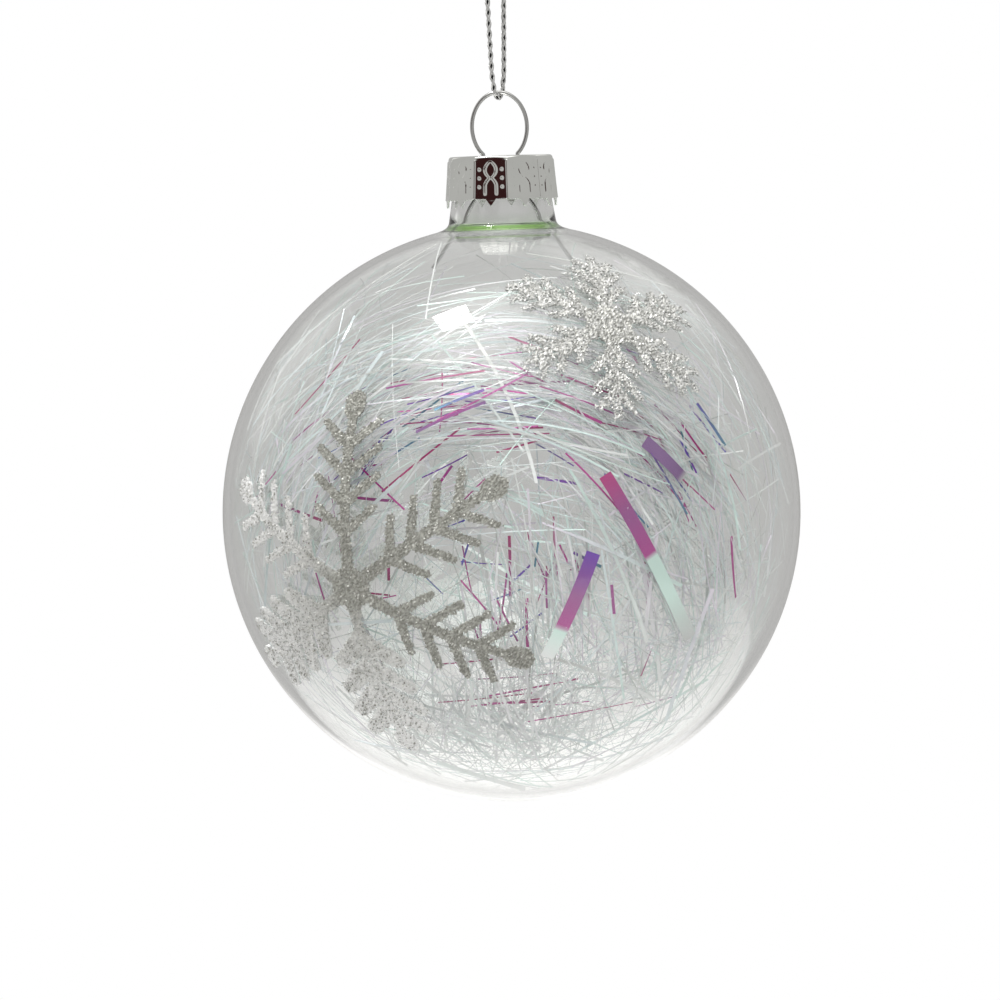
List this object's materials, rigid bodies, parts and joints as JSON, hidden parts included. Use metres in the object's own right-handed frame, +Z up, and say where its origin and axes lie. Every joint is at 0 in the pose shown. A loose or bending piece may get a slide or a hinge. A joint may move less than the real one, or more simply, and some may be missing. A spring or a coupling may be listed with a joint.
{
  "type": "glass ball ornament",
  "caption": "Clear glass ball ornament on a silver cord loop: crown cap, spring wire hanger, glitter snowflakes outside and shredded iridescent film inside.",
  "frame": {"origin": "the point inside the top of the cord's loop where a hook or a branch holds it, on the ball's axis", "axes": "+Z up along the axis through the cap and the ball, -Y towards the front with the two snowflakes, +X to the viewer's right; the ball hangs below the origin"},
  "size_m": [0.08, 0.0814, 0.1303],
  "materials": {
    "clear_glass": "clear polished glass, faint green where it is thick",
    "cap_chrome": "bright stamped tinplate with an embossed crown pattern",
    "spring_steel": "bare bright spring wire",
    "silver_cord": "metallic silver braid with dark gaps between its strands",
    "glitter_olive": "fine grey-olive glitter grains with bright sparkles",
    "glitter_white": "fine silver-white glitter grains with bright sparkles",
    "film_pearl": "thin iridescent film, pearly white with mint and lilac",
    "film_magenta": "thin iridescent film seen magenta, turning to mint",
    "film_violet": "thin iridescent film seen violet"
  },
  "bodies": {
    "cord": {"cord_knot": "silver_cord", "cord_strand_left": "silver_cord", "cord_strand_right": "silver_cord"},
    "bight": {"cord_bight": "silver_cord"},
    "hanger": {"wire_loop": "spring_steel"},
    "leg_left": {"spring_leg_left": "spring_steel"},
    "leg_right": {"spring_leg_right": "spring_steel"},
    "cap": {"ornament_cap": "cap_chrome"},
    "ball": {"glass_bulb": "clear_glass", "snowflake_front_large": "glitter_olive", "snowflake_front_small": "glitter_white", "snowflake_back_large": "glitter_olive", "snowflake_back_small": "glitter_white", "film_band_front": "film_magenta", "film_band_low": "film_violet", "film_band_right": "film_violet", "film_band_top": "film_magenta", "film_shred_01": "film_pearl", "film_shred_02": "film_pearl", "film_shred_03": "film_pearl", "film_shred_04": "film_pearl", "film_shred_05": "film_pearl", "film_shred_06": "film_pearl", "film_shred_07": "film_pearl", "film_shred_08": "film_pearl", "film_shred_09": "film_pearl", "film_shred_10": "film_pearl", "film_shred_11": "film_pearl", "film_shred_12": "film_pearl", "film_shred_13": "film_pearl", "film_shred_14": "film_pearl"}
  },
  "joints": [
    {"name": "cord_twist", "type": "hinge", "parent": "cord", "child": "bight", "pos_m": [0, 0, -0.0273], "axis": [0, 0, 1], "range_deg": [-180, 180]},
    {"name": "hanger_swing", "type": "hinge", "parent": "bight", "child": "hanger", "pos_m": [0, 0, -0.0273], "axis": [1, 0, 0], "range_deg": [-40, 40]},
    {"name": "cap_tilt", "type": "hinge", "parent": "hanger", "child": "cap", "pos_m": [0, 0, -0.03625], "axis": [1, 0, 0], "range_deg": [-6, 6]},
    {"name": "ball_pull_off", "type": "slide", "parent": "cap", "child": "ball", "axis": [0, 0, -1], "range_m": [0, 0.016]},
    {"name": "leg_left_pinch", "type": "hinge", "parent": "hanger", "child": "leg_left", "pos_m": [-0.00242, 0, -0.0365], "axis": [0, -1, 0], "range_deg": [0, 33]},
    {"name": "leg_right_pinch", "type": "hinge", "parent": "hanger", "child": "leg_right", "pos_m": [0.00242, 0, -0.0365], "axis": [0, 1, 0], "range_deg": [0, 33]}
  ],
  "couplings": [
    {"joint": "leg_left_pinch", "follows": "ball_pull_off", "rad_per_m": 34.9},
    {"joint": "leg_right_pinch", "follows": "ball_pull_off", "rad_per_m": 34.9}
  ]
}
